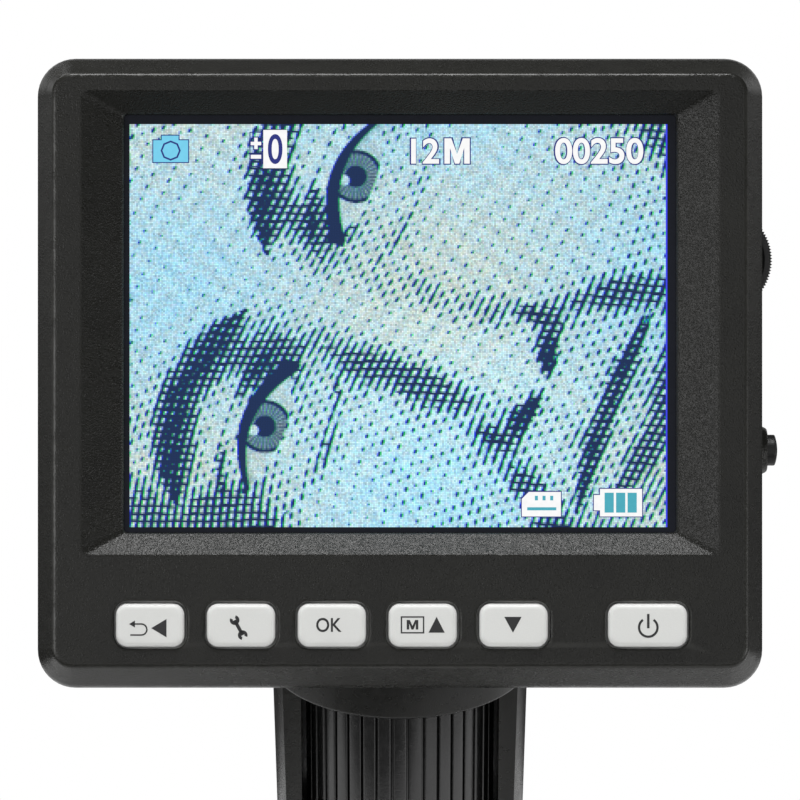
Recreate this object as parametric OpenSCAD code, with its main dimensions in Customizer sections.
// LCD digital microscope: a display head hinged on a barrel with a focus drum.
// The barrel stands on +Z with the rim of its nose tip at z = 0, and the screen faces -Y.
// The head is drawn upright: x to the right, y into the case from its front face, z up from
// the middle of the case. head_place() then hangs it on its hinge at the rest tilt.

/* [Display head] */
// Width of the case
head_w = 95; // [92:0.5:110]
// Height of the case
head_h = 82.5; // [81:0.5:95]
// Depth of the case from the front face to the back
head_depth = 18; // [17.5:0.5:26]
// Depth of the front bezel, up to the parting line
bezel_depth = 7.5; // [7.3:0.1:7.6]
// Lean of the head away from upright at rest, in degrees
head_tilt = 23; // [0:1:35]
// Wall thickness of the case
case_wall = 2; // [1.5:0.1:2.4]
// Corner radius of the case
corner_r = 5; // [3:0.5:8]
// Depth of the slanted edge round the front face
edge_depth = 5; // [3:0.5:6]
// Width of the slanted edge at the sides and the top
edge_w = 2.4; // [1:0.1:3]
// Width of the slanted edge at the bottom
edge_bottom_w = 3.1; // [1:0.1:4]
// Thickness of the back wall, which also carries the battery door
back_wall = 2.6; // [2.4:0.1:3]
// Chamfer round the back of the case
back_chamfer = 2; // [1:0.1:2.6]
// Height of the slope under the back of the case
back_slope_h = 8.75; // [6:0.25:9]

/* [Screen] */
// Width of the lit area
screen_w = 70.1; // [66:0.1:72]
// Height of the lit area
screen_h = 52.6; // [50:0.1:54]
// Black margin of the panel that shows inside the window
screen_margin = 0.95; // [0.5:0.05:1.2]
// Distance from the top of the case to the window
window_drop = 7.55; // [7:0.05:8]
// Depth of the slanted frame round the window
frame_depth = 2.4; // [1:0.1:3]
// Width of that frame at each side
frame_side = 5.45; // [3:0.05:6]
// Width of that frame above the window
frame_top = 3.05; // [2:0.05:3.5]
// Width of that frame below the window
frame_bottom = 2.85; // [2:0.05:3]
// Thickness of the lip that holds the panel
lip_t = 0.6; // [0.5:0.05:1]
// Thickness of the glass panel
panel_t = 1.3; // [1:0.1:1.5]
// Thickness of the light guide behind it
guide_t = 1.7; // [1:0.1:1.8]
// Thickness of the steel tray
tray_t = 0.3; // [0.2:0.05:0.4]

/* [Keys] */
// Width of a function key
key_w = 8.9; // [7:0.1:10]
// Height of every key
key_h = 5.6; // [4:0.1:6]
// Width of the power key
power_w = 10.3; // [8:0.1:11]
// Distance between function keys
key_pitch = 11.8; // [11.6:0.1:12]
// Distance from the left side of the case to the middle of the first key
key_first = 15.05; // [13.5:0.05:15.5]
// Distance from the right side of the case to the middle of the power key
power_in = 15.35; // [14.5:0.05:16.5]
// Distance from the bottom of the case up to the row of keys
key_rise = 8.5; // [8:0.1:9]
// How far a key stands proud of the face
key_proud = 0.8; // [0.5:0.1:1.5]
// Travel of a key
key_travel = 0.4; // [0.2:0.05:0.5]
// Gap round a key
key_gap = 0.35; // [0.2:0.05:0.5]

/* [Side controls] */
// Radius of the dimmer wheel
wheel_r = 7.2; // [6.5:0.1:7.4]
// Thickness of the dimmer wheel
wheel_t = 2.4; // [1.6:0.1:2.6]
// How far the wheel stands out of the case
wheel_proud = 1.7; // [1:0.1:2.2]
// Number of teeth on the wheel
wheel_teeth = 60; // [40:2:72]
// Height of the wheel above the case's middle
wheel_rise = 15; // [12:0.5:18]
// Radius of the snapshot button
snap_r = 2.05; // [1.5:0.05:2.5]
// How far the snapshot button stands out of the case
snap_proud = 2.5; // [2:0.1:3]
// Travel of the snapshot button
snap_travel = 0.6; // [0.3:0.1:0.7]
// Drop of the snapshot button below the case's middle
snap_drop = 10.15; // [9:0.05:12]

/* [Power and sockets] */
// Width of the battery
battery_w = 52; // [40:1:56]
// Height of the battery
battery_h = 34; // [25:1:36]
// Thickness of the battery
battery_t = 5.4; // [4:0.1:5.5]
// Thickness of the battery door
door_t = 1.75; // [1.2:0.05:1.8]
// Radius of the video socket's bore
av_r = 1.8; // [1.25:0.05:1.9]

/* [Hinge] */
// Height of the hinge above the bottom of the case
hinge_rise = 13.75; // [13:0.25:16]
// Distance from the back of the case to the hinge
hinge_back = 6; // [5.8:0.1:9]
// Radius of the hinge pin
pin_r = 2; // [1.5:0.1:2.5]
// Radius of the knuckle and the ears
knuckle_r = 5.5; // [5:0.1:5.6]
// Width of the knuckle
knuckle_w = 15.6; // [10:0.2:18]
// Width of each ear
ear_w = 7; // [4:0.5:8]
// Thickness of a friction washer
washer_t = 0.6; // [0.3:0.1:0.8]

/* [Barrel] */
// Radius of the smooth collar under the head
collar_r = 17.65; // [17:0.05:19]
// Height of the collar's lower rim above the tip
collar_z = 76.4; // [75:0.1:85]
// Height of the collar
collar_h = 5; // [4.8:0.1:7]
// Thickness of the shoulder on the collar
shoulder_t = 1.5; // [1.4:0.1:2]
// Rise from the shoulder to the hinge
neck_h = 6; // [5.9:0.1:9]
// Step from the collar in to the pillars
pillar_step = 0.3; // [0.15:0.05:0.6]
// Radius of the straight sleeve that a stand grips
sleeve_r = 16.5; // [16:0.1:16.8]
// Height of the sleeve's lower edge
sleeve_z = 18; // [12:0.5:20]
// Height of the joint between the sleeve and the lower ring
ring_z = 44; // [43.5:0.5:45]
// Height of the lower ring
ring_h = 6; // [5:0.5:7]
// Depth of each pillar from front to back
pillar_depth = 14; // [8:0.5:16]
// Half width of the window between the pillars
window_half = 13.35; // [13.3:0.05:13.8]
// Reach of each pillar's rear half round the back of the drum
pillar_hook = 1.6; // [0.5:0.1:2]

/* [Focus drum] */
// Radius over the ribs
drum_r = 12.85; // [12.5:0.05:13]
// Number of ribs
rib_n = 38; // [24:1:48]
// Width of a groove
groove_w = 0.45; // [0.2:0.05:0.8]
// Depth of a groove
groove_d = 0.6; // [0.3:0.1:1]
// Turn of the drum each way from the middle, in degrees
drum_turn = 135; // [60:5:150]
// Rise of the lens for one turn of the drum
helix_pitch = 10.8; // [6:0.2:12]

/* [Optics] */
// Outer radius of the fixed guide tube
guide_r = 9.5; // [9:0.1:9.8]
// Wall of the guide tube
guide_wall = 1.45; // [1.2:0.05:1.6]
// Height of the lens carriage
carriage_h = 16; // [12:0.5:18]
// Radius of the follower pins
follower_r = 1; // [0.7:0.1:1.3]
// Outer radius of the clear tip's rim
tip_r = 13.5; // [12.5:0.1:15]
// Wall of the clear tip
tip_wall = 1.6; // [1.2:0.1:1.9]
// Number of light-emitting diodes
led_n = 8; // [4:1:10]

/* [Hidden] */
$fn = 48;
eps = 0.01;
slab_t = 0.05;            // thin slices that hull() joins
running = 0.05;           // radial clearance of a running fit
loose = 0.3;              // clearance of a seated or sliding piece

// Case
half_w = head_w / 2;
half_h = head_h / 2;
inner_w = head_w - 2 * case_wall;
inner_h = head_h - 2 * case_wall;
inner_r = corner_r - case_wall;
face_wall = 2;
chamfer_y = head_depth - back_chamfer;
back_in_y = head_depth - back_wall;
back_slope = back_slope_h / (head_depth - bezel_depth);
chamfer_rise = back_slope * (chamfer_y - bezel_depth);
back_rise = back_slope * (back_in_y - bezel_depth);
cavity_draft = 0.8;

// Screen stack, from the front face inwards
window_w = screen_w + 2 * screen_margin;
window_h = screen_h + 2 * screen_margin;
window_z = half_h - window_drop - window_h / 2;
frame_w = window_w + 2 * frame_side;
frame_h = window_h + frame_top + frame_bottom;
frame_z = window_z + (frame_top - frame_bottom) / 2;
panel_y = frame_depth + lip_t;
frame_web = 1;            // wall left round the recess
guide_y = panel_y + panel_t;
tray_back = guide_y + guide_t + tray_t;
panel_rim = 2.8;          // glass beyond the lit area at each side and above
panel_foot = 7.6;         // glass below the lit area, where the driver chip sits
panel_w = screen_w + 2 * panel_rim;
panel_h = screen_h + panel_rim + panel_foot;
panel_z = window_z - (panel_foot - panel_rim) / 2;
board_gap = 0.2;
board_cut = 9;            // more than the board beside a column
board_y = tray_back + board_gap;
board_t = 1.2;
board_back = board_y + board_t;
board_edge = 1;           // room between the board and the side wall
board_w = inner_w - 2 * board_edge;
board_top = half_h - 7.7;
board_bottom = 3.2 - half_h;
chips = [[0, -12, 13, 13, 1], [17, -12, 9, 7, 1], [-17, -14, 6, 8, 1], [0, 18, 10, 12, 0.9],
         [20, 4, 5, 5, 0.9], [0, -30, 5, 3, 1]];        // each: x, z, width, height, thickness
resistor = [2.2, 1.2, 1];
resistor_pitch = 4;
resistor_at = [10, -24];

// Bosses and screws
boss_r = 2.2;
boss_pilot = 0.75;
boss_x = half_w - case_wall - 4.2;
boss_top = half_h - case_wall - 2.6;
boss_bottom = case_wall + 4.8 - half_h;
boss_top_x = half_w - case_wall - 3.1;
case_boss = [[-boss_x, boss_bottom], [boss_x, boss_bottom],
             [-boss_top_x, boss_top], [boss_top_x, boss_top]];
well_r = 2.3;
column_r = well_r + 1.2;
case_head_r = 1.9;
case_head_y = head_depth - 6.2;
case_head_t = 1.4;
post_r = 1.5;
post_x = half_w - case_wall - 3.7;
post_top = 24;
post_bottom = -24.5;
board_post = [for (x = [-post_x, post_x], z = [post_bottom, post_top]) [x, z]];
screw_head_r = 1.4;
screw_head_t = 0.8;
screw_r = 0.7;
screw_bite = 2;           // thread in the post behind the board
case_shank_r = 1.2;       // clearance hole for a case screw's shank

// Keys
key_z = key_rise - half_h;
key_x = [for (i = [0:4]) key_first + i * key_pitch - half_w];
power_x = half_w - power_in;
key_r = 1.5;
key_bevel = 0.3;
flange = 0.55;
key_back_y = face_wall + flange;
switch_w = 6;
switch_h = 4.6;
switch_body_y = key_back_y + key_travel + 1.1;
switch_tip_y = key_back_y + key_travel + 0.05;

// Side controls
wheel_x = half_w + wheel_proud - wheel_r;
wheel_y = board_back + 2.3;
wheel_slot = sqrt(pow(wheel_r, 2) - pow(half_w - case_wall - wheel_x, 2)) + 0.4;
pot_w = 7;
pot_x = half_w - case_wall - 0.5 - pot_w / 2;
pot_t = 1.9;
shaft_r = 1;
snap_y = bezel_depth + 5.1;
mound_h = 1.1;
mound_r = snap_r + 1.2;
snap_flange = 0.8;
snap_hole_r = snap_r + 0.15;
snap_end_x = half_w - case_wall - snap_flange - 0.6;
snap_flange_at = half_w - case_wall - snap_flange - snap_end_x;
snap_l = half_w + snap_proud - snap_end_x;
snap_dome = 6;
side_face = snap_end_x - snap_travel - 0.8;
side_body = [3.6, 6];

// Sockets on the left wall
wall_x = -half_w;
usb_z = 18;
usb_w = 7.7;
usb_t = 4;
usb_l = 9;
usb_wall = 0.4;
usb_tongue = [5.2, 0.8];
av_z = 4;
av_body = [10, 6];
av_y = board_back + 2.9;
av_cap = 2.6;             // body beyond the bore's axis
av_nose_r = av_r + 0.85;
av_body_x = wall_x + case_wall + cavity_draft + 0.2;
card_z = -12;
card_w = 11;
card_l = 15;
card_t = 0.75;
card_play = 0.15;
card_rail = 1.2;          // socket beyond the card at each side
card_roof = 0.6;
card_y = board_back + 0.45;
card_in = 14.6;
notch = [6, 1.4];         // stepped corner of the card

// Battery, its well and its door
battery_gap = 0.4;
well_wall = 1.2;
well_floor = 0.8;
battery_low = -1;
well_low = battery_low - 1.4;
well_high = battery_low + battery_h + battery_gap;
well_half = battery_w / 2 + battery_gap;
well_y = back_in_y - battery_t - 0.1;
contact_w = 2;
contact_pitch = 6;
contact_inset = 1;
door_half = well_half + 1.9;
door_low = well_low - 2.4;
door_gap = 0.2;
door_seat = head_depth - door_t;
tongue_w = 0.9;
tongue_t = 0.75;
grip_w = 16;
grip_d = 0.5;
grip_h = 0.8;
grip_pitch = 1.6;
grip_rise = 5;

// Hinge
hinge_y = head_depth + hinge_back;
hinge_zl = hinge_rise - half_h;
ear_in = knuckle_w / 2 + washer_t + 0.2;
ear_out = ear_in + ear_w;
hinge_z = collar_z + collar_h + shoulder_t + neck_h;
nut_r = 3.4;
nut_t = 2.2;

// Barrel
shoulder_z = collar_z + collar_h;
floor_t = 1.6;
collar_floor = collar_z + floor_t;
ledge_h = 0.8;
sensor_z = collar_floor + ledge_h;
sensor_t = 1.2;
sensor_w = 8;
collar_wall = 2.4;
pocket_r = collar_r - collar_wall;
pillar_r = collar_r - pillar_step;
bracket_post_r = 2.1;
screw_ring = pocket_r - bracket_post_r - 0.55;
bracket_head_r = 1.7;
bracket_head_t = 0.9;
bracket_screw_l = 3.6;
bracket_seat = 0.5;       // shoulder left under a screw's head
bracket_angles = [45, 135, 225, 315];
ring_r = sleeve_r + 0.2;
spigot_r = window_half - running;
spigot_top = ring_z + ring_h;

// Drum and lens drive
play = 0.1;
glide_t = 0.3;
drum_low = spigot_top + glide_t + play / 2;
drum_high = collar_z - glide_t - play / 2;
cam_r = drum_r - 2.3;
cam_step = 6;
tube_low = ring_z - 2;
tube_in = guide_r - guide_wall;
carriage_z = (drum_low + drum_high) / 2;
carriage_r = tube_in - running;
lens_travel = helix_pitch * drum_turn / 360;
cam_slot = follower_r + 0.1;
lens_r = carriage_r - 1.6;
lens_seat = 1;
lens_edge = 1.2;
lens_crown = 0.8;
lens_floor = 2;           // carriage below the front lens
lens_z = carriage_z - carriage_h / 2 + lens_floor - lens_crown;
spacer_h = 5;
rear_z = lens_z + lens_edge + spacer_h;
retainer_h = 1.5;

// Tip and light
tip_spigot = 6;
tip_flange = 2;
flange_r = sleeve_r - 0.3;
led_t = 1.2;
led_z = sleeve_z + tip_spigot + 2;
led_r = 1.4;
led_body = 1.6;
led_ring = (tube_in + sleeve_r - 2) / 2;
sleeve_wall = 2;
socket_r = sleeve_r - sleeve_wall;

// ---------- Shared shapes ----------

// Rounded rectangle about the middle of the sheet
module rounded(w, h, r) {
    union() {
        square([w - 2 * r, h], center = true);
        square([w, h - 2 * r], center = true);
        for (x = [-1, 1], z = [-1, 1])
            translate([x * (w / 2 - r), z * (h / 2 - r)]) circle(r);
    }
}

// Flat plate that faces the front: centred on x = 0 and z, from y inwards
module plate(w, h, r, z, y, t) {
    translate([0, y + t, z]) rotate([90, 0, 0]) linear_extrude(t) rounded(w, h, r);
}

// Box given by its lowest corner and its highest corner
module block(low, high) {
    translate(low) cube(high - low);
}

// Cylinder along y, from y0 to y1
module rod_y(x, z, r, y0, y1) {
    translate([x, y1, z]) rotate([90, 0, 0]) cylinder(h = y1 - y0, r = r);
}

// Cylinder along x, from x0 to x1
module rod_x(y, z, r, x0, x1) {
    translate([x0, y, z]) rotate([0, 90, 0]) cylinder(h = x1 - x0, r = r);
}

// Hangs what is drawn in the head's own frame on the hinge
module head_place() {
    translate([0, 0, hinge_z]) rotate([-head_tilt, 0, 0])
        translate([0, -hinge_y, -hinge_zl]) children();
}

// Cross recess in a screw head at z = 0, cut downwards
module cross_recess(r, d) {
    for (a = [0, 90]) rotate([0, 0, a])
        translate([-r, -r / 5, -d]) cube([2 * r, 2 * r / 5, d + eps]);
}

// Screw with its head's top at z = 0 and its shank down
module screw(head_r, head_t, shank_r, length) {
    difference() {
        union() {
            translate([0, 0, -head_t]) cylinder(h = head_t, r = head_r);
            translate([0, 0, -length]) cylinder(h = length, r = shank_r);
        }
        cross_recess(head_r * 0.65, head_t / 2);
    }
}

// ---------- Case ----------

// Slanted front edge and straight skirt of the bezel, drawn in by inset
module bezel_form(inset, y0) {
    face_w = head_w - 2 * edge_w - 2 * inset;
    face_h = head_h - edge_w - edge_bottom_w - 2 * inset;
    hull() {
        plate(face_w, face_h, corner_r / 2, (edge_bottom_w - edge_w) / 2, y0, slab_t);
        plate(head_w - 2 * inset, head_h - 2 * inset, corner_r - inset, 0,
              edge_depth, bezel_depth - edge_depth);
    }
}

// Outside of the rear cover: straight sides, a slope below and a chamfer behind
module cover_form() {
    h_chamfer = head_h - chamfer_rise;
    h_back = head_h - back_slope_h - back_chamfer;
    hull() {
        plate(head_w, head_h, corner_r, 0, bezel_depth, slab_t);
        plate(head_w, h_chamfer, corner_r, half_h - h_chamfer / 2,
              chamfer_y - slab_t, slab_t);
        plate(head_w - 2 * back_chamfer, h_back, corner_r,
              half_h - back_chamfer - h_back / 2, head_depth - slab_t, slab_t);
    }
}

// Inside of the rear cover: its sides draw in a little towards the back wall
module cover_cavity() {
    h_in = inner_h - back_rise;
    hull() {
        plate(inner_w, inner_h, inner_r, 0, bezel_depth - 1, 1.05);
        plate(inner_w - 2 * cavity_draft, h_in, inner_r, inner_h / 2 - h_in / 2,
              back_in_y - slab_t, slab_t);
    }
}

module key_cut(x, w) {
    translate([x, 0, 0])
        plate(w + 2 * key_gap, key_h + 2 * key_gap, key_r + key_gap, key_z,
              -1, face_wall + 2);
}

module front_bezel() {
    color([0.18, 0.18, 0.18]) head_place() difference() {
        union() {
            difference() {
                bezel_form(0, 0);
                difference() {
                    union() {
                        bezel_form(case_wall, face_wall);
                        plate(inner_w, inner_h, inner_r, 0, edge_depth,
                              bezel_depth - edge_depth + 1);
                    }
                    plate(frame_w + 2 * frame_web, frame_h + 2 * frame_web, 1.5, frame_z,
                          0, panel_y);
                }
            }
            for (p = case_boss) rod_y(p.x, p.y, boss_r, face_wall, bezel_depth);
            for (p = board_post) rod_y(p.x, p.y, post_r, face_wall, board_y);
        }
        hull() {
            plate(frame_w, frame_h, 1, frame_z, -slab_t, slab_t);
            plate(window_w, window_h, 0.5, window_z, frame_depth, slab_t);
        }
        plate(window_w, window_h, 0.5, window_z, 0, panel_y + 1);
        for (x = key_x) key_cut(x, key_w);
        key_cut(power_x, power_w);
        for (p = case_boss) rod_y(p.x, p.y, boss_pilot, face_wall + 1, bezel_depth + 1);
        for (p = board_post)
            rod_y(p.x, p.y, screw_r, board_y - screw_bite - 0.4, board_y + 1);
    }
}

// Room for the door: the recess, its grooves and the way out through the top edge
module door_recess() {
    block([-door_half, door_seat - 0.05, door_low], [door_half, head_depth + 1, half_h + 1]);
    block([-door_half - tongue_w, door_seat - 0.05, door_low],
          [door_half + tongue_w, door_seat + tongue_t + 0.1, half_h + 1]);
}

module battery_well() {
    difference() {
        block([-well_half - well_wall, well_y - well_floor, well_low - well_wall],
              [well_half + well_wall, back_in_y + eps, well_high + well_wall]);
        block([-well_half, well_y, well_low], [well_half, head_depth, well_high]);
    }
}

module hinge_ears() {
    for (s = [-1, 1]) {
        x0 = min(s * ear_in, s * ear_out);
        block([x0, back_in_y, hinge_zl - knuckle_r], [x0 + ear_w, hinge_y, hinge_zl + knuckle_r]);
        rod_x(hinge_y, hinge_zl, knuckle_r, x0, x0 + ear_w);
    }
}

module rear_cover() {
    color([0.16, 0.16, 0.16]) head_place() difference() {
        union() {
            difference() {
                cover_form();
                difference() {
                    cover_cavity();
                    battery_well();
                    for (p = case_boss)
                        rod_y(p.x, p.y, column_r, bezel_depth, head_depth);
                }
            }
            hinge_ears();
            translate([half_w - case_wall / 2, snap_y, -snap_drop]) rotate([0, 90, 0])
                cylinder(h = mound_h + case_wall / 2, r1 = mound_r + 0.6, r2 = mound_r - 0.4);
        }
        block([-well_half, well_y, well_low], [well_half, head_depth + 1, well_high]);
        door_recess();
        for (p = case_boss) {
            rod_y(p.x, p.y, well_r, case_head_y - case_head_t, head_depth + 1);
            rod_y(p.x, p.y, case_shank_r, bezel_depth - 1, head_depth);
        }
        rod_x(hinge_y, hinge_zl, pin_r + running, -ear_out - 1, ear_out + 1);
        block([half_w - case_wall - 1, wheel_y - loose, wheel_rise - wheel_slot],
              [half_w + 1, wheel_y + wheel_t + loose, wheel_rise + wheel_slot]);
        rod_x(snap_y, -snap_drop, snap_hole_r, half_w - case_wall - 1, half_w + mound_h + 1);
        rod_x(snap_y, -snap_drop, snap_r + 1.1, half_w - case_wall - 2, half_w - case_wall);
        block([wall_x - 1, bezel_depth - 1, usb_z - usb_w / 2 - 0.2],
              [wall_x + case_wall + 1, board_back + usb_t + 0.2, usb_z + usb_w / 2 + 0.2]);
        rod_x(av_y, av_z, av_nose_r + 0.15, wall_x - 1, wall_x + case_wall + 1);
        block([wall_x - 1, bezel_depth - 1, card_z - card_w / 2 - loose],
              [wall_x + case_wall + 1, card_y + card_t + loose, card_z + card_w / 2 + loose]);
    }
}

module battery_door() {
    color([0.17, 0.17, 0.17]) head_place() difference() {
        union() {
            intersection() {
                cover_form();
                block([-door_half + door_gap, door_seat, door_low + door_gap],
                      [door_half - door_gap, head_depth + 1, half_h + 1]);
            }
            block([-door_half - tongue_w + door_gap, door_seat, door_low + door_gap],
                  [door_half + tongue_w - door_gap, door_seat + tongue_t, half_h - back_chamfer]);
        }
        for (i = [0:4])
            block([-grip_w / 2, head_depth - grip_d, door_low + grip_rise + i * grip_pitch],
                  [grip_w / 2, head_depth + 1, door_low + grip_rise + grip_h + i * grip_pitch]);
    }
}

// ---------- Inside the head ----------

module battery_pack() {
    color("steelblue") head_place()
        block([-battery_w / 2, well_y, battery_low],
              [battery_w / 2, well_y + battery_t, battery_low + battery_h]);
}

module battery_contacts() {
    color("gold") head_place() for (i = [-1:1])
        block([i * contact_pitch - contact_w / 2, well_y + contact_inset, well_low],
              [i * contact_pitch + contact_w / 2, well_y + battery_t - contact_inset,
               battery_low - 0.1]);
}

module lcd_panel() {
    color([0.1, 0.12, 0.2]) head_place()
        plate(panel_w, panel_h, 0.4, panel_z, panel_y, panel_t);
}

module light_guide() {
    color("white") head_place() plate(panel_w, panel_h, 0.4, panel_z, guide_y, guide_t);
}

module lcd_tray() {
    color("silver") head_place() difference() {
        plate(panel_w + 2 * tray_t, panel_h + 2 * tray_t, 0.6, panel_z, panel_y + 0.4,
              tray_back - panel_y - 0.4);
        plate(panel_w, panel_h, 0.4, panel_z, panel_y - 1, tray_back - tray_t - panel_y + 1);
    }
}

module main_board() {
    color("darkgreen") head_place() difference() {
        block([-board_w / 2, board_y, board_bottom], [board_w / 2, board_back, board_top]);
        for (p = case_boss) rod_y(p.x, p.y, column_r + loose, board_y - 1, board_back + 1);
        for (s = [-1, 1])
            block([s * boss_x - (s < 0 ? board_cut : 0), board_y - 1, board_bottom - 1],
                  [s * boss_x + (s > 0 ? board_cut : 0), board_back + 1,
                   boss_bottom + column_r + loose]);
        for (p = board_post) rod_y(p.x, p.y, screw_r + 0.1, board_y - 1, board_back + 1);
    }
}

module chip(x, z, size) {
    block([x - size.x / 2, board_back, z - size.y / 2],
          [x + size.x / 2, board_back + size.z, z + size.y / 2]);
}

module board_chips() {
    color([0.08, 0.08, 0.08]) head_place() {
        for (c = chips) chip(c[0], c[1], [c[2], c[3], c[4]]);
        for (i = [0:3]) chip(resistor_at.x + resistor_pitch * i, resistor_at.y, resistor);
    }
}

module board_screws() {
    color("silver") head_place() for (p = board_post)
        translate([p.x, board_back + screw_head_t, p.y]) rotate([-90, 0, 0])
            screw(screw_head_r, screw_head_t, screw_r, screw_head_t + board_t + screw_bite);
}

module case_screws() {
    color("dimgray") head_place() for (p = case_boss)
        translate([p.x, case_head_y, p.y]) rotate([-90, 0, 0])
            screw(case_head_r, case_head_t, boss_pilot, case_head_y - face_wall - 1.5);
}

module tact_switch(x) {
    block([x - switch_w / 2, switch_body_y, key_z - switch_h / 2],
          [x + switch_w / 2, board_y, key_z + switch_h / 2]);
    rod_y(x, key_z, 1.2, switch_tip_y, switch_body_y + eps);
}

module tact_switches() {
    color("dimgray") head_place() {
        for (x = key_x) tact_switch(x);
        tact_switch(power_x);
    }
}

module side_switch() {
    color("dimgray") head_place() {
        block([side_face - side_body.x, board_back, -snap_drop - side_body.y / 2],
              [side_face, snap_y + 2.4, -snap_drop + side_body.y / 2]);
        rod_x(snap_y, -snap_drop, 1, side_face - eps, snap_end_x - snap_travel - 0.05);
    }
}

module dimmer_pot() {
    color([0.15, 0.25, 0.2]) head_place() {
        block([pot_x - pot_w / 2, board_back, wheel_rise - pot_w / 2],
              [pot_x + pot_w / 2, board_back + pot_t, wheel_rise + pot_w / 2]);
        rod_y(wheel_x, wheel_rise, shaft_r, board_back + pot_t - eps, wheel_y + wheel_t + 0.5);
    }
}

// ---------- Controls ----------

module key(x, w) {
    color([0.84, 0.84, 0.83]) head_place() translate([x, 0, 0]) {
        hull() {
            plate(w - 2 * key_bevel, key_h - 2 * key_bevel, key_r - key_bevel, key_z,
                  -key_proud, slab_t);
            plate(w, key_h, key_r, key_z, key_bevel - key_proud, slab_t);
        }
        plate(w, key_h, key_r, key_z, key_bevel - key_proud, key_proud - key_bevel + face_wall);
        plate(w + 2 * flange, key_h + 2 * flange, key_r, key_z, face_wall, flange);
    }
}

module key_back() { key(key_x[0], key_w); }
module key_setup() { key(key_x[1], key_w); }
module key_ok() { key(key_x[2], key_w); }
module key_mode_up() { key(key_x[3], key_w); }
module key_down() { key(key_x[4], key_w); }
module key_power() { key(power_x, power_w); }

// Outline of the knurled wheel: one tip and one root for each tooth
module knurled_disc(r, n, d) {
    polygon([for (i = [0:n - 1], k = [0, 1, 2, 3])
        let (a = (i + [0, 0.3, 0.5, 0.8][k]) * 360 / n, q = k < 2 ? r : r - d)
        [q * cos(a), q * sin(a)]]);
}

module dimmer_wheel() {
    color([0.1, 0.1, 0.1]) head_place()
        translate([wheel_x, wheel_y + wheel_t, wheel_rise]) rotate([90, 0, 0])
            linear_extrude(wheel_t) difference() {
                knurled_disc(wheel_r, wheel_teeth, 0.35);
                circle(shaft_r + running);
            }
}

// Turned button: a stem, a flange inside the wall and a domed end
module snapshot_button() {
    color([0.1, 0.1, 0.1]) head_place()
        translate([snap_end_x, snap_y, -snap_drop]) rotate([0, 90, 0])
            rotate_extrude() union() {
                intersection() {
                    square([snap_r, snap_l]);
                    translate([0, snap_l - snap_dome]) circle(snap_dome, $fn = 96);
                }
                square([snap_r, snap_l - 1]);
                translate([0, snap_flange_at]) square([snap_r + 0.8, snap_flange]);
            }
}

// ---------- Sockets ----------

module usb_socket() {
    x0 = wall_x + 0.3;
    color("silver") head_place() {
        difference() {
            block([x0, board_back, usb_z - usb_w / 2], [x0 + usb_l, board_back + usb_t,
                  usb_z + usb_w / 2]);
            block([x0 - 1, board_back + usb_wall, usb_z - usb_w / 2 + usb_wall],
                  [x0 + usb_l - 2 * usb_wall, board_back + usb_t - usb_wall,
                   usb_z + usb_w / 2 - usb_wall]);
        }
        block([x0 + 3 * usb_wall, board_back + (usb_t - usb_tongue.y) / 2,
               usb_z - usb_tongue.x / 2],
              [x0 + usb_l - usb_wall, board_back + (usb_t + usb_tongue.y) / 2,
               usb_z + usb_tongue.x / 2]);
    }
}

module av_socket() {
    color([0.08, 0.08, 0.08]) head_place() difference() {
        union() {
            block([av_body_x, board_back, av_z - av_body.y / 2],
                  [av_body_x + av_body.x, av_y + av_cap, av_z + av_body.y / 2]);
            rod_x(av_y, av_z, av_nose_r, wall_x + 0.2, av_body_x + 1);
        }
        rod_x(av_y, av_z, av_r, wall_x - 1, av_body_x + av_body.x - 2);
    }
}

module card_socket() {
    x0 = wall_x + case_wall + 0.3;
    color("silver") head_place() difference() {
        block([x0, board_back, card_z - card_w / 2 - card_rail],
              [x0 + card_in, card_y + card_t + card_roof, card_z + card_w / 2 + card_rail]);
        block([x0 - 1, card_y - card_play, card_z - card_w / 2 - card_play],
              [x0 + card_in - card_roof, card_y + card_t + card_play,
               card_z + card_w / 2 + card_play]);
    }
}

module memory_card() {
    x0 = wall_x - 0.4;
    color([0.05, 0.05, 0.05]) head_place() difference() {
        block([x0, card_y, card_z - card_w / 2], [x0 + card_l, card_y + card_t,
              card_z + card_w / 2]);
        block([x0 + card_l - notch.x, card_y - 1, card_z + card_w / 2 - notch.y],
              [x0 + card_l + 1, card_y + card_t + 1, card_z + card_w / 2 + 1]);
    }
}

// ---------- Hinge ----------

module hinge_pin() {
    color("silver") translate([0, 0, hinge_z]) rotate([0, 90, 0]) {
        translate([0, 0, -ear_out - 0.1]) cylinder(h = 2 * ear_out + 0.2 + nut_t, r = pin_r);
        translate([0, 0, -ear_out - 0.1]) rotate([180, 0, 0]) difference() {
            cylinder(h = nut_t, r1 = nut_r, r2 = nut_r - 0.6);
            translate([0, 0, nut_t]) cross_recess(nut_r * 0.6, 0.9);
        }
    }
}

module hinge_nut() {
    color("silver") translate([ear_out + 0.1, 0, hinge_z]) rotate([0, 90, 0]) difference() {
        cylinder(h = nut_t, r = nut_r, $fn = 6);
        translate([0, 0, -1]) cylinder(h = nut_t + 2, r = pin_r);
    }
}

module hinge_washers() {
    color("gainsboro") for (s = [-1, 1])
        translate([s * (knuckle_w / 2 + washer_t / 2), 0, hinge_z]) rotate([0, 90, 0])
            difference() {
                cylinder(h = washer_t, r = knuckle_r - 0.8, center = true);
                cylinder(h = washer_t + 1, r = pin_r, center = true);
            }
}

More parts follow.
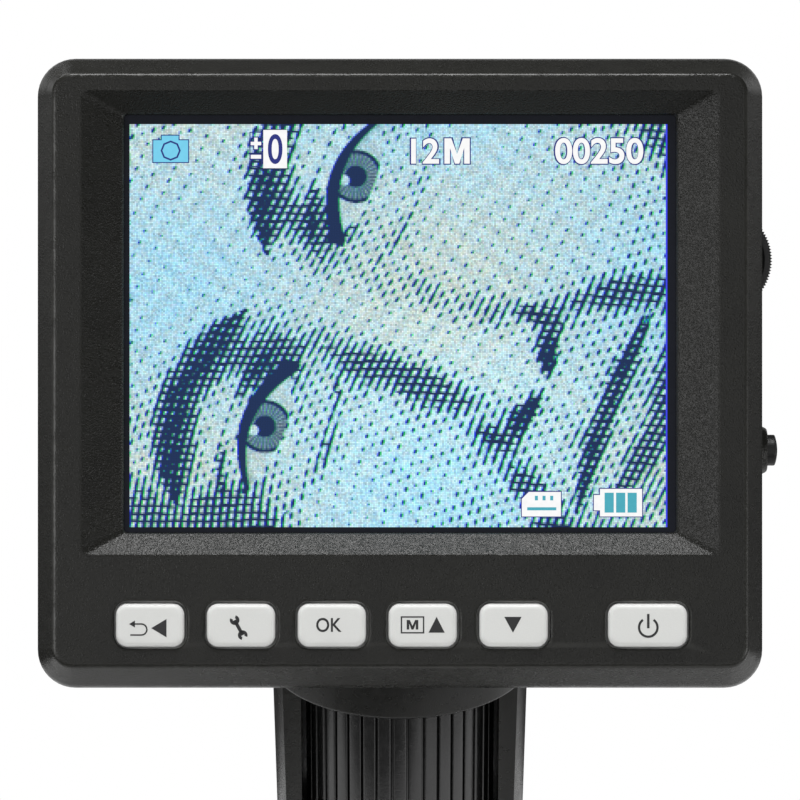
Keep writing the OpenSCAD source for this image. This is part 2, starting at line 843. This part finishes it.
// Shoulder disc, neck and knuckle in one piece
module hinge_bracket() {
    color([0.17, 0.17, 0.17]) difference() {
        union() {
            translate([0, 0, shoulder_z]) rotate_extrude($fn = 96) union() {
                square([collar_r - shoulder_t, shoulder_t]);
                intersection() {
                    translate([collar_r - shoulder_t, 0]) circle(shoulder_t);
                    square([collar_r, shoulder_t]);
                }
            }
            block([-knuckle_w / 2, -knuckle_r, shoulder_z + shoulder_t / 2],
                  [knuckle_w / 2, knuckle_r, hinge_z]);
            rod_x(0, hinge_z, knuckle_r, -knuckle_w / 2, knuckle_w / 2);
        }
        rod_x(0, hinge_z, pin_r, -knuckle_w, knuckle_w);
        for (a = bracket_angles) rotate([0, 0, a]) translate([screw_ring, 0, shoulder_z]) {
            translate([0, 0, -1]) cylinder(h = shoulder_t + 2, r = screw_r + loose);
            translate([0, 0, bracket_seat]) cylinder(h = shoulder_t, r = bracket_head_r + 0.1);
        }
    }
}

module bracket_screws() {
    color("dimgray") for (a = bracket_angles) rotate([0, 0, a])
        translate([screw_ring, 0, shoulder_z + bracket_seat + bracket_head_t])
            screw(bracket_head_r, bracket_head_t, screw_r, bracket_screw_l);
}

// ---------- Barrel ----------

module body_frame() {
    color([0.17, 0.17, 0.17]) difference() {
        union() {
            translate([0, 0, collar_z]) rotate_extrude($fn = 96) polygon([
                [guide_r, 0], [collar_r - 0.25, 0], [collar_r, 0.25], [collar_r, collar_h],
                [pocket_r, collar_h], [pocket_r, floor_t], [guide_r + 0.7, floor_t],
                [guide_r + 0.7, floor_t + ledge_h], [guide_r, floor_t + ledge_h]]);
            for (a = bracket_angles) rotate([0, 0, a])
                translate([screw_ring, 0, collar_floor - eps])
                    cylinder(h = shoulder_z - collar_floor + eps, r = bracket_post_r);
            pillars();
            translate([0, 0, ring_z]) difference() {
                cylinder(h = ring_h, r = ring_r, $fn = 96);
                translate([0, 0, -1]) cylinder(h = ring_h + 2, r = window_half, $fn = 96);
            }
        }
        for (a = bracket_angles) rotate([0, 0, a])
            translate([screw_ring, 0, shoulder_z - 2.6])
                cylinder(h = bracket_screw_l + 0.4, r = screw_r);
    }
}

// The two pillars: slices of a slightly tapered tube, flat beside the drum's front half and
// curved round its rear half
module pillars() {
    pillar_low = spigot_top - 1;
    hook_x = window_half - pillar_hook;
    difference() {
        intersection() {
            translate([0, 0, ring_z])
                cylinder(h = collar_z - ring_z + eps, r1 = ring_r, r2 = pillar_r, $fn = 96);
            for (s = [-1, 1])
                block([min(s * hook_x, s * collar_r), -pillar_depth / 2, pillar_low],
                      [max(s * hook_x, s * collar_r), pillar_depth / 2, collar_z + eps]);
        }
        translate([0, 0, ring_z - 1])
            cylinder(h = collar_z - ring_z + 1, r = window_half, $fn = 96);
        block([-window_half, -pillar_depth / 2 - 1, ring_z - 1],
              [window_half, 0, collar_z]);
    }
}

module sensor_board() {
    color("darkgreen") translate([0, 0, sensor_z]) difference() {
        cylinder(h = sensor_t, r = guide_r + 0.6);
        translate([0, 6.5, -1]) cylinder(h = sensor_t + 2, r = 0.6);
    }
}

module image_sensor() {
    color([0.1, 0.1, 0.12]) translate([-sensor_w / 2, -sensor_w / 2, sensor_z - ledge_h])
        cube([sensor_w, sensor_w, ledge_h]);
}

module guide_tube() {
    color("silver") difference() {
        translate([0, 0, tube_low])
            cylinder(h = collar_floor - tube_low, r = guide_r);
        translate([0, 0, tube_low - 1]) cylinder(h = collar_floor - tube_low + 2, r = tube_in);
        slot_half = lens_travel + loose;
        block([-cam_slot, -guide_r - 1, carriage_z - slot_half],
              [cam_slot, guide_r + 1, carriage_z + slot_half]);
        for (s = [-1, 1]) translate([0, guide_r + 1, carriage_z + s * slot_half])
            rotate([90, 0, 0]) cylinder(h = 2 * guide_r + 2, r = cam_slot);
    }
}

// Ribbed sleeve that the thumb turns
module focus_drum() {
    drum_h = drum_high - drum_low;
    color([0.12, 0.12, 0.12]) translate([0, 0, drum_low]) difference() {
        linear_extrude(drum_h) difference() {
            circle(drum_r, $fn = 96);
            circle(cam_r, $fn = 96);
            for (i = [0:rib_n - 1]) rotate((i + 0.5) * 360 / rib_n)
                translate([drum_r - groove_d, -groove_w / 2]) square([groove_d + 1, groove_w]);
        }
    }
}

// One helical slot, cut as a row of overlapping holes
module cam_path(start) {
    steps = ceil((drum_turn + 3) / cam_step);
    for (i = [-steps:steps])
        let (a = i * (drum_turn + 3) / steps)
            rotate([0, 0, start + a])
                translate([guide_r - 1, 0, carriage_z - a * helix_pitch / 360])
                    rotate([0, 90, 0]) cylinder(h = drum_r - guide_r + 1, r = cam_slot, $fn = 24);
}

module cam_sleeve() {
    color("goldenrod") difference() {
        translate([0, 0, drum_low + 1])
            cylinder(h = drum_high - drum_low - 2, r = cam_r);
        translate([0, 0, drum_low]) cylinder(h = drum_high - drum_low, r = guide_r + running);
        for (start = [90, 270]) cam_path(start);
    }
}

module glide_rings() {
    color("white") for (z = [spigot_top, collar_z - glide_t]) translate([0, 0, z])
        difference() {
            cylinder(h = glide_t, r = drum_r - 0.8);
            translate([0, 0, -1]) cylinder(h = glide_t + 2, r = guide_r + 0.4);
        }
}

module lens_carriage() {
    color([0.2, 0.2, 0.2]) translate([0, 0, carriage_z - carriage_h / 2]) difference() {
        cylinder(h = carriage_h, r = carriage_r);
        translate([0, 0, -1]) cylinder(h = carriage_h + 2, r = lens_r - lens_seat);
        translate([0, 0, lens_floor]) cylinder(h = carriage_h, r = lens_r);
        for (a = [0, 180]) rotate([0, 0, 90 + a]) translate([lens_r - 0.1, 0, carriage_h / 2])
            rotate([0, 90, 0]) cylinder(h = 4, r = follower_r);
    }
}

module follower_pins() {
    color("silver") for (a = [0, 180]) rotate([0, 0, 90 + a])
        translate([lens_r + 0.1, 0, carriage_z]) rotate([0, 90, 0])
            cylinder(h = cam_r - lens_r - 0.3, r = follower_r);
}

// Lens with two domed faces inside a flat rim: edge is the rim's thickness, crown the rise
module lens(r, edge, crown) {
    dome_r = r - lens_seat - running;
    ball = (pow(dome_r, 2) + pow(crown, 2)) / (2 * crown);
    rotate_extrude() union() {
        translate([0, crown]) square([r, edge]);
        intersection() {
            square([dome_r, edge + 2 * crown]);
            translate([0, ball]) circle(ball, $fn = 360);
            translate([0, edge + 2 * crown - ball]) circle(ball, $fn = 360);
        }
    }
}

module lens_front() {
    color("lightcyan") translate([0, 0, lens_z]) lens(lens_r, lens_edge, lens_crown);
}

module lens_rear() {
    color("lightcyan") translate([0, 0, rear_z]) lens(lens_r, lens_edge, lens_crown);
}

module lens_ring(z, h) {
    color([0.15, 0.15, 0.15]) translate([0, 0, z]) difference() {
        cylinder(h = h, r = lens_r);
        translate([0, 0, -1]) cylinder(h = h + 2, r = lens_r - lens_seat);
    }
}

module lens_spacer() { lens_ring(lens_z + lens_crown + lens_edge, spacer_h); }
module lens_retainer() { lens_ring(rear_z + lens_crown + lens_edge, retainer_h); }

// Outer wall, spigot for the lower ring, seat for the guide tube
module lower_sleeve() {
    color([0.17, 0.17, 0.17]) rotate_extrude($fn = 96) polygon([
        [socket_r, sleeve_z], [sleeve_r, sleeve_z], [sleeve_r, ring_z],
        [spigot_r, ring_z], [spigot_r, spigot_top], [guide_r, spigot_top],
        [guide_r, tube_low], [tube_in, tube_low], [tube_in, led_z + led_t],
        [guide_r + 1, led_z + led_t], [guide_r + 1, tube_low - 2],
        [socket_r - 1.2, tube_low - 2], [socket_r - 1.2, led_z + led_t],
        [socket_r, led_z + led_t]]);
}

module led_board() {
    color("ivory") translate([0, 0, led_z]) difference() {
        cylinder(h = led_t, r = socket_r - 0.1);
        translate([0, 0, -1]) cylinder(h = led_t + 2, r = tube_in - 1);
    }
}

module leds() {
    color("lightyellow") for (i = [0:led_n - 1]) rotate([0, 0, i * 360 / led_n])
        translate([led_ring, 0, led_z - led_body]) {
            cylinder(h = led_body, r = led_r, $fn = 24);
            sphere(led_r, $fn = 24);
        }
}

// Clear tip: spigot in the sleeve, flange under it and a tapered skirt down to the rim
module nose_tip() {
    color([0.9, 0.95, 0.95, 0.5]) rotate_extrude($fn = 96) polygon([
        [tip_r - tip_wall, 0], [tip_r - 0.3, 0], [tip_r, 0.3],
        [flange_r - 0.5, sleeve_z - tip_flange], [flange_r, sleeve_z - tip_flange],
        [flange_r, sleeve_z], [socket_r - running, sleeve_z],
        [socket_r - running, sleeve_z + tip_spigot],
        [socket_r - tip_wall, sleeve_z + tip_spigot],
        [socket_r - tip_wall, sleeve_z - tip_flange]]);
}

front_bezel();
rear_cover();
battery_door();
battery_pack();
battery_contacts();
lcd_panel();
light_guide();
lcd_tray();
main_board();
board_chips();
board_screws();
case_screws();
tact_switches();
side_switch();
dimmer_pot();
dimmer_wheel();
snapshot_button();
usb_socket();
av_socket();
card_socket();
memory_card();
key_back();
key_setup();
key_ok();
key_mode_up();
key_down();
key_power();
hinge_pin();
hinge_nut();
hinge_washers();
hinge_bracket();
bracket_screws();
body_frame();
sensor_board();
image_sensor();
guide_tube();
focus_drum();
cam_sleeve();
glide_rings();
lens_carriage();
follower_pins();
lens_front();
lens_rear();
lens_spacer();
lens_retainer();
lower_sleeve();
led_board();
leds();
nose_tip();
